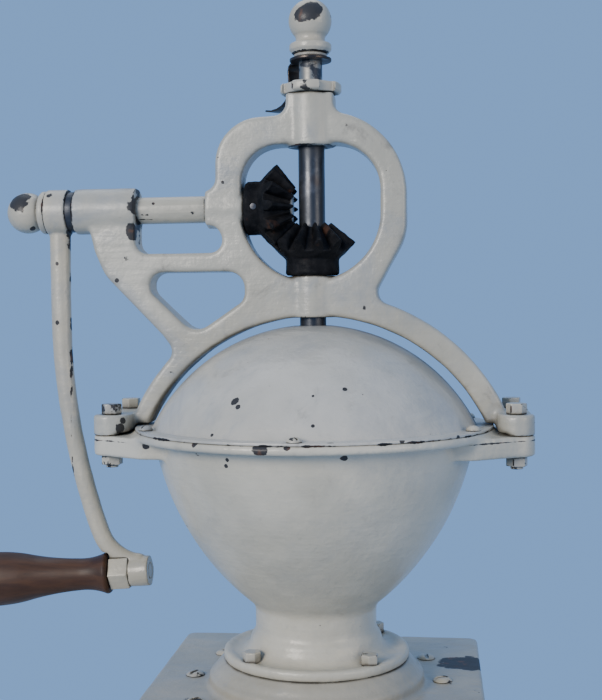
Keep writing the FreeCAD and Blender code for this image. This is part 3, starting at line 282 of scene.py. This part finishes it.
def dark_steel(name, shine=0.4, base=(0.050, 0.054, 0.062), bright=(0.20, 0.21, 0.23),
               painted_above=None):
    """Turned steel, browned with oil, with fine turning marks and worn patches."""
    n = Nodes(name)
    worn = n.ramp(n.noise(35.0, 5, 0.7), 0.50, 0.72, 0.0, shine)
    color = n.mix(worn, base, bright)
    brown = n.ramp(n.noise(70.0, 4), 0.56, 0.72, 0.0, 0.7)
    color = n.mix(brown, color, (0.040, 0.026, 0.018))
    if painted_above is not None:
        neck = n.ramp(n.coordinate("Z"), painted_above - PAINT_EDGE, painted_above + PAINT_EDGE)
        bare = n.ramp(n.noise(120.0, 5, 0.6), 0.46, 0.52)
        color = n.mix(n.math("MULTIPLY", neck, bare), color, (0.27, 0.26, 0.23))
    rough = n.ramp(n.noise(50.0, 4), 0.3, 0.7, 0.26, 0.50)
    turning = n.noise(1.0, 2, 0.5, n.mapped((90, 90, 1400)))
    normal = n.bump(turning, 0.18, 0.0003)
    normal = n.bump(n.noise(160.0, 4), 0.22, 0.0004, normal)
    return n.surface(color, rough, normal, metallic=0.75)


def turned_wood(name, axis_turn=(0, 0, 0), light=(0.075, 0.033, 0.014), dark=(0.040, 0.018, 0.009)):
    """Varnished hardwood with the grain along the piece's own X."""
    n = Nodes(name)
    wide = n.noise(1.0, 4, 0.6, n.mapped((14, 120, 120), axis_turn), distortion=0.6)
    fine = n.noise(1.0, 5, 0.7, n.mapped((45, 900, 900), axis_turn))
    color = n.mix(n.ramp(wide, 0.32, 0.70), dark, light)
    pores = n.ramp(fine, 0.55, 0.72, 0.0, 0.75)
    color = n.mix(pores, color, (0.038, 0.017, 0.010))
    hands = n.ramp(n.noise(28.0, 4, 0.6), 0.48, 0.72, 0.0, 0.35)
    color = n.mix(hands, color, (0.055, 0.028, 0.018))
    # painted shade: ambient occlusion darkens the wood in corners and creases
    corner = n.ramp(n.crevice(0.004), 0.35, 0.8, 0.0, 0.8)
    color = n.mix(corner, color, (0.015, 0.011, 0.009))
    rough = n.ramp(n.noise(40.0, 3), 0.3, 0.7, 0.42, 0.60)
    normal = n.bump(fine, 0.25, 0.0003)
    normal = n.bump(n.noise(90.0, 3), 0.15, 0.0006, normal)
    return n.surface(color, rough, normal, coat=0.03, coat_rough=0.35, gloss=0.30)


def board_paint(name, grain=(10, 10, 10)):
    """The same cream paint brushed on wood, with the grain showing through."""
    n = Nodes(name)
    lines = n.noise(1.0, 5, 0.65, n.mapped(grain), distortion=0.3)
    tone = n.ramp(n.noise(9.0, 4, 0.6), 0.34, 0.68)
    color = n.mix(tone, CREAM_DARK, CREAM_LIGHT)
    color = n.mix(n.ramp(lines, 0.50, 0.72, 0.0, 0.22), color, (0.38, 0.35, 0.28))
    scuff = n.ramp(n.noise(6.0, 5, 0.7, distortion=0.6), 0.56, 0.74, 0.0, 0.30)
    color = n.mix(scuff, color, (0.30, 0.28, 0.23))
    # painted shade: ambient occlusion darkens the seams and corners between boards towards the grime colour
    seam = n.ramp(n.crevice(0.004), 0.30, 0.75, 0.0, 0.85)
    color = n.mix(seam, color, GRIME_AND_SHADE)
    edge = n.ramp(n.edge(), 0.51, 0.56)
    level = n.math("ADD", n.noise(70.0, 6, 0.62), n.math("MULTIPLY", edge, 0.16))
    chip = n.ramp(level, 0.745, 0.76)
    wood = n.mix(n.ramp(lines, 0.35, 0.65), (0.10, 0.055, 0.028), (0.24, 0.14, 0.075))
    color = n.mix(chip, color, wood)
    rough = n.math("ADD", n.ramp(n.noise(24.0, 3), 0.3, 0.7, 0.32, 0.48),
                   n.math("MULTIPLY", chip, 0.3), clamp=True)
    normal = n.bump(lines, 0.30, 0.0006)
    normal = n.bump(n.noise(60.0, 3), 0.25, 0.0008, normal)
    normal = n.bump(n.math("SUBTRACT", 1.0, chip), 0.7, 0.0003, normal)
    return n.surface(color, rough, normal, coat=0.08, coat_rough=0.3)


def bare_wood(name, grain=(12, 300, 300)):
    """Unpainted softwood with coffee dust in the grain."""
    n = Nodes(name)
    lines = n.noise(1.0, 5, 0.65, n.mapped(grain), distortion=0.4)
    color = n.mix(n.ramp(lines, 0.34, 0.68), (0.22, 0.13, 0.07), (0.42, 0.29, 0.17))
    dust = n.ramp(n.noise(9.0, 5, 0.7), 0.45, 0.75, 0.0, 0.5)
    color = n.mix(dust, color, (0.10, 0.06, 0.035))
    normal = n.bump(lines, 0.35, 0.0005)
    return n.surface(color, n.ramp(lines, 0.3, 0.7, 0.55, 0.75), normal)


# ---- mesh helpers ------------------------------------------------------------------------
EASED_ABOVE = 40                    # edges sharper than this many degrees are bevelled
SHARP_ABOVE = 35                    # and those above this many stay crisp in the shading
BOARD_DRIFT_SCALE = 40.0


def mesh_object(name, mesh):
    piece = bpy.data.objects.new(name, mesh)
    bpy.context.scene.collection.objects.link(piece)
    return piece


def baked(piece):
    """Apply a piece's modifiers."""
    bpy.context.view_layer.update()
    graph = bpy.context.evaluated_depsgraph_get()
    mesh = bpy.data.meshes.new_from_object(piece.evaluated_get(graph))
    piece.modifiers.clear()
    piece.data = mesh
    return piece


def copy_of(node, name):
    """A welded copy of a CAD node's mesh."""
    mesh = frame["nodes"][node].data.copy()
    mesh.materials.clear()
    if mesh.has_custom_normals:
        mesh.attributes.remove(mesh.attributes["custom_normal"])
    bm = bmesh.new()
    bm.from_mesh(mesh)
    bmesh.ops.remove_doubles(bm, verts=bm.verts, dist=1e-6)
    bm.to_mesh(mesh)
    bm.free()
    return mesh_object(name, mesh)


def wander(piece, size, scale, seed):
    """Push the surface in and out by a slow noise, as a sand casting is."""
    mesh = piece.data
    moved = []
    for vertex in mesh.vertices:
        place = vertex.co * scale + Vector((seed, seed * 1.7, -seed))
        moved.append(vertex.co + vertex.normal * (noise.noise(place) * size))
    mesh.vertices.foreach_set("co", [value for point in moved for value in point])
    mesh.update()


def smooth_shaded(piece, angle=None):
    """Shade smooth, but for edges sharper than the angle where one is given."""
    for polygon in piece.data.polygons:
        polygon.use_smooth = True
    if angle is not None:
        piece.data.set_sharp_from_angle(angle=math.radians(angle))
    return piece


def cast(node, name, voxel, passes=6, drift=0.0, drift_scale=60.0):
    """A CAD node remade as one skin with its edges rounded over."""
    piece = copy_of(node, name)
    remesh = piece.modifiers.new("skin", "REMESH")
    remesh.mode = "VOXEL"
    remesh.voxel_size = voxel
    relax = piece.modifiers.new("relax", "SMOOTH")
    relax.factor = 0.5
    relax.iterations = passes
    baked(piece)
    if drift:
        wander(piece, drift, drift_scale, len(name))
    return smooth_shaded(piece)


def eased(node, name, width, segments=3, drift=0.0):
    """A CAD node with its sharp edges bevelled, for boards and turned pieces."""
    piece = copy_of(node, name)
    bevel = piece.modifiers.new("ease", "BEVEL")
    bevel.width = width
    bevel.segments = segments
    bevel.limit_method = "ANGLE"
    bevel.angle_limit = math.radians(EASED_ABOVE)
    baked(piece)
    if drift:
        wander(piece, drift, BOARD_DRIFT_SCALE, len(name))
    return smooth_shaded(piece, SHARP_ABOVE)


def lathe(name, profile, sides):
    """A closed profile of (radius, height) turned about Z."""
    bm = bmesh.new()
    rings = []
    for radius, height in profile:
        ring = []
        for k in range(sides):
            turn = 2 * math.pi * k / sides
            ring.append(bm.verts.new((radius * math.cos(turn), radius * math.sin(turn), height)))
        rings.append(ring)
    count = len(rings)
    for j in range(count):
        for k in range(sides):
            following = (k + 1) % sides
            after = (j + 1) % count
            bm.faces.new((rings[j][k], rings[j][following],
                          rings[after][following], rings[after][k]))
    bmesh.ops.remove_doubles(bm, verts=bm.verts, dist=1e-7)
    bmesh.ops.recalc_face_normals(bm, faces=bm.faces)
    mesh = bpy.data.meshes.new(name)
    bm.to_mesh(mesh)
    bm.free()
    return mesh_object(name, mesh)


def finished(piece, node, material):
    """Dress a piece and let it stand for a CAD node."""
    piece.data.materials.clear()
    piece.data.materials.append(material)
    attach(piece, BODY_OF[node])
    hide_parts(node)
    return piece


# ---- castings and their paint --------------------------------------------------------------
def at(x, y, z):
    """A point given in millimetres, with its height above the iron plate."""
    return (x * MM, y * MM, TOP + z * MM)


# Copies of one cream paint, one per part. The brightness in each tint is painted light and shade: darker on the
# yoke, plate, arm, shaft, fittings and balls, and lighter on the bowl. The shift in warmth is the part's own
# colour.
paint_yoke = cream_paint("paint_yoke", 0.55, [
    (at(-115, -11.2, 311.3), 0.0055, 160.0), (at(-115.5, -10.4, 294), 0.0055, 200.0),
    (at(-119, -31, 173.5), 0.0023, 260.0), (at(-120.5, -32.6, 169), 0.0032, 260.0),
    (at(-127, -12, 263), 0.0014, 300.0), (at(-60, -12, 292), 0.0022, 300.0)],
    [("X", -0.1155, 0.0012, 0.63, 90.0, at(-116, 0, 309), 0.022),
     ("X", -0.1562, 0.0010, 0.60, 90.0, at(-156, 0, 309), 0.022),
     ("Z", TOP + 0.3478, 0.0006, 0.58, 90.0, at(0, 0, 348), 0.020),
     ("Z", TOP + 0.1643, 0.0006, 0.60)], dirt_and_shade=1.6, tint_and_shade=(0.87, 0.86, 0.80))
paint_bowl = cream_paint("paint_bowl", 0.15, [
    (at(-18.6, -115.4, 164.8), 0.0042, 180.0), (at(-98.6, -54, 160), 0.0024, 220.0),
    (at(-59, -99.9, 166.6), 0.0019, 220.0), (at(-41, -94.2, 156.7), 0.0012, 240.0),
    (at(-41.8, -93, 153.1), 0.0012, 240.0), (at(26.9, -99.6, 158.8), 0.0019, 240.0),
    (at(-3.4, -115.6, 166.8), 0.0019, 220.0)],
    [("Z", TOP + 0.1668, 0.0006, 0.64), ("Z", TOP + 0.1612, 0.0006, 0.64),
     ("Z", TOP + 0.0170, 0.0006, 0.58)], dirt_and_shade=0.65, tint_and_shade=(1.10, 1.07, 0.98))
paint_dome = cream_paint("paint_dome", 0.3, [
    (at(-37.9, -82.8, 189.6), 0.0024, 260.0), (at(-35.5, -86.4, 186.7), 0.0017, 260.0),
    (at(-50.3, -90.4, 170.7), 0.0010, 260.0), (at(9.5, -99.5, 176.9), 0.0010, 240.0),
    (at(8.5, -87.8, 193.1), 0.0010, 240.0), (at(26.4, -80.8, 196.6), 0.0014, 260.0),
    (at(20.1, -111.1, 168.6), 0.0020, 220.0), (at(59.6, -98.9, 168.4), 0.0016, 220.0),
    (at(91.3, -70.6, 167.1), 0.0018, 220.0)],
    [("Z", TOP + 0.1673, 0.0006, 0.65)])
paint_plate = cream_paint("paint_plate", 0.55, [(at(99, 44, 0), 0.016, 70.0)], strokes=(30, 240, 30),
                          tint_and_shade=(0.82, 0.79, 0.72))
paint_arm = cream_paint("paint_arm", 0.85, [
    (at(-171, -14, 321), 0.0040, 200.0), (at(-169, -7, 275), 0.0016, 300.0),
    (at(-170, -7, 236), 0.0018, 260.0)],
    [("X", -0.1756, 0.0011, 0.66), ("X", -0.1613, 0.0011, 0.66)], strokes=(200, 200, 14),
    tint_and_shade=(0.98, 0.92, 0.79))
paint_shaft = cream_paint("paint_shaft", 0.6, [
    (at(-103, -8, 313), 0.0010, 240.0), (at(-90, -9, 304), 0.0013, 240.0)],
    [("X", -0.1145, 0.0012, 0.62), ("X", -0.0690, 0.0008, 0.60)], strokes=(14, 200, 200),
    tint_and_shade=(0.90, 0.88, 0.80))
paint_fittings = cream_paint("paint_fittings", 2.0, dirt_and_shade=1.8, tint_and_shade=(0.95, 0.92, 0.84))
paint_balls = cream_paint("paint_balls", 0.6, [
    (at(1, -13.2, 432.3), 0.0078, 150.0), (at(-5.1, -12.7, 430.9), 0.0050, 200.0),
    (at(-193, -10.5, 316.9), 0.0078, 150.0), (at(-184.8, -6, 298.1), 0.0020, 200.0)],
    [("Z", TOP + 0.4078, 0.0008, 0.60), ("X", -0.1760, 0.0010, 0.64)],
    tint_and_shade=(0.92, 0.88, 0.78))
iron_gears = black_iron("iron_gears", 0.25)
iron_hidden = black_iron("iron_hidden", 0.6)
steel_spindle = dark_steel("steel_spindle", 0.55, painted_above=TOP + 0.3870)
steel_small = dark_steel("steel_small", 0.3)
steel_spring = dark_steel("steel_spring", 0.15, (0.050, 0.040, 0.034), (0.12, 0.11, 0.10))
wood_grip = turned_wood("wood_grip", (0, math.radians(-4.0), 0))
wood_knob = turned_wood("wood_knob", (0, 0, math.radians(90)))
boards_across = board_paint("boards_across", (10, 160, 160))
boards_deep = board_paint("boards_deep", (160, 10, 160))
boards_bare = bare_wood("boards_bare")

finished(cast("yoke_frame", "yoke_casting", 1.15 * MM, 5, drift=0.25 * MM, drift_scale=70),
         "yoke_frame", paint_yoke)
finished(cast("hopper_bowl", "hopper_casting", 1.5 * MM, 6, drift=0.2 * MM, drift_scale=30),
         "hopper_bowl", paint_bowl)
finished(cast("top_plate", "plate_casting", 1.2 * MM, 4, drift=0.25 * MM, drift_scale=45),
         "top_plate", paint_plate)
finished(cast("crank_arm", "arm_forging", 0.7 * MM, 5, drift=0.2 * MM, drift_scale=90),
         "crank_arm", paint_arm)
finished(cast("adjusting_nut", "adjusting_disc", 0.5 * MM, 4, drift=0.1 * MM),
         "adjusting_nut", paint_fittings)
finished(cast("finial_nut", "finial_ball", 0.5 * MM, 3, drift=0.12 * MM),
         "finial_nut", paint_balls)
finished(cast("crank_ball_nut", "crank_ball", 0.5 * MM, 3, drift=0.12 * MM),
         "crank_ball_nut", paint_balls)
finished(cast("finial_washer", "finial_spacer", 0.4 * MM, 3),
         "finial_washer", paint_fittings)
for node_name, piece_name, voxel in (
        ("lug_bolts", "lug_bolt_set", 0.45), ("lug_nuts", "lug_nut_set", 0.42),
        ("flange_bolts", "flange_bolt_set", 0.42), ("plate_screws", "plate_screw_set", 0.42),
        ("dome_screws", "dome_screw_set", 0.35), ("shutter_knob", "shutter_knob_cast", 0.4)):
    finished(cast(node_name, piece_name, voxel * MM, 4, drift=0.08 * MM),
             node_name, paint_fittings)
finished(cast("drive_gear", "drive_gear_worn", 0.5 * MM, 4, drift=0.3 * MM, drift_scale=260),
         "drive_gear", iron_gears)
finished(cast("driven_gear", "driven_gear_worn", 0.5 * MM, 4, drift=0.3 * MM, drift_scale=260),
         "driven_gear", iron_gears)
finished(cast("locking_spring", "locking_leaf", 0.3 * MM, 2),
         "locking_spring", steel_spring)
finished(cast("handle_pin", "handle_pin_hex", 0.45 * MM, 3), "handle_pin", paint_arm)


# ---- pressed dome --------------------------------------------------------------------------
finished(eased("hopper_dome", "dome_pressing", 0.4 * MM, 2), "hopper_dome", paint_dome)
finished(eased("dome_shutter", "shutter_leaf", 0.3 * MM, 2), "dome_shutter", paint_dome)

# ---- turned and plain pieces ------------------------------------------------------------------
finished(eased("wood_handle", "grip_turned", 0.6 * MM), "wood_handle", wood_grip)
finished(eased("drawer_knob", "drawer_knob_turned", 0.4 * MM), "drawer_knob", wood_knob)
finished(eased("bottom_board", "bottom_board_painted", 1.0 * MM), "bottom_board",
         boards_across)
for node_name in ("back_board", "front_board", "drawer_front"):
    finished(eased(node_name, node_name + "_painted", 1.0 * MM, 3, 0.12 * MM),
             node_name, boards_across)
for node_name in ("left_side_board", "right_side_board"):
    finished(eased(node_name, node_name + "_painted", 1.0 * MM, 3, 0.12 * MM),
             node_name, boards_deep)
for node_name in ("drawer_runners", "left_cleat", "right_cleat", "drawer_tray"):
    finished(eased(node_name, node_name + "_bare", 0.6 * MM, 2), node_name, boards_bare)
for node_name in ("lower_guide_bar", "outer_burr", "inner_burr", "burr_nut"):
    finished(eased(node_name, node_name + "_iron", 0.25 * MM, 2), node_name, iron_hidden)
finished(eased("crank_shaft", "crank_shaft_painted", 0.4 * MM), "crank_shaft",
         paint_shaft)
finished(eased("spindle", "spindle_turned", 0.4 * MM), "spindle", steel_spindle)
for node_name in ("crank_washer", "drive_gear_pin", "gear_key", "handle_end_cap",
                  "guide_bar_screws", "knob_screw"):
    finished(eased(node_name, node_name + "_steel", 0.3 * MM), node_name, steel_small)


# ---- floor, light and camera ---------------------------------------------------------------
FLOOR_RADIUS = 0.360
FLOOR_TOP = -0.0003                 # just under the feet of the box
FLOOR_THICK = 0.0297
FLOOR_ROUND = 0.0030
FLOOR_SIDES = 160
FLOOR_COLOR = (0.52, 0.56, 0.60)
FLOOR_ROUGH = 0.75
SKY_COLOR = (0.212, 0.398, 0.760, 1)
LIGHTS = (                          # name, place, target, size, watts, colour
    ("window", (-1.1, -1.9, 1.05), (0, 0, 0.30), 1.0, 48, (1.0, 0.93, 0.84)),
    ("room", (1.7, -1.3, 0.7), (0, 0, 0.3), 1.2, 12, (1.0, 0.84, 0.62)),
    ("ceiling", (-0.2, 0.6, 1.8), (0, 0, 0.3), 1.4, 7, (1.0, 0.97, 0.92)),
)
CAMERA_PLACE = (0.0770, -0.7520, TOP + 0.2414)
CAMERA_AZIMUTH = 6.46               # degrees to the right of straight ahead
CAMERA_PITCH = 1.87                 # degrees down
CAMERA_ROLL = 0.60
CAMERA_LENS = 59.81
CAMERA_SENSOR = 36.0


def studio():
    low = FLOOR_TOP - FLOOR_THICK
    inner = FLOOR_RADIUS - FLOOR_ROUND
    floor = lathe("studio_floor", [(0.0, low), (inner, low), (FLOOR_RADIUS, low + FLOOR_ROUND),
                                   (FLOOR_RADIUS, -FLOOR_ROUND), (inner, FLOOR_TOP),
                                   (0.0, FLOOR_TOP)], FLOOR_SIDES)
    n = Nodes("floor_matte")
    floor.data.materials.append(n.surface(FLOOR_COLOR, FLOOR_ROUGH))

    world = bpy.data.worlds.new("studio")
    world.use_nodes = True
    background = world.node_tree.nodes["Background"]
    background.inputs["Color"].default_value = SKY_COLOR
    background.inputs["Strength"].default_value = 1.0
    bpy.context.scene.world = world
    for light in LIGHTS:
        area(*light)


def area(name, position, target, size, power, color):
    lamp = bpy.data.lights.new(name, "AREA")
    lamp.shape = "DISK"
    lamp.size = size
    lamp.energy = power
    lamp.color = color
    holder = bpy.data.objects.new(name, lamp)
    holder.location = position
    aim = Vector(target) - Vector(position)
    holder.rotation_euler = aim.to_track_quat("-Z", "Y").to_euler()
    bpy.context.scene.collection.objects.link(holder)


def camera():
    """The camera stands in front and a little to the right, almost level."""
    azimuth = math.radians(CAMERA_AZIMUTH)
    pitch = math.radians(CAMERA_PITCH)
    roll = math.radians(CAMERA_ROLL)
    side = Vector((math.cos(azimuth), math.sin(azimuth), 0))
    ahead = Vector((-math.sin(azimuth), math.cos(azimuth), 0))
    look = ahead * math.cos(pitch) - Vector((0, 0, math.sin(pitch)))
    rise = ahead * math.sin(pitch) + Vector((0, 0, math.cos(pitch)))
    right = side * math.cos(roll) - rise * math.sin(roll)
    up = side * math.sin(roll) + rise * math.cos(roll)
    data = bpy.data.cameras.new("camera")
    data.lens = CAMERA_LENS
    data.sensor_width = CAMERA_SENSOR
    data.sensor_fit = "AUTO"
    data.clip_start = 0.01
    holder = bpy.data.objects.new("camera", data)
    turn = Matrix((right, up, -look)).transposed().to_4x4()
    holder.matrix_world = Matrix.Translation(Vector(CAMERA_PLACE)) @ turn
    bpy.context.scene.collection.objects.link(holder)
    bpy.context.scene.camera = holder


studio()
camera()
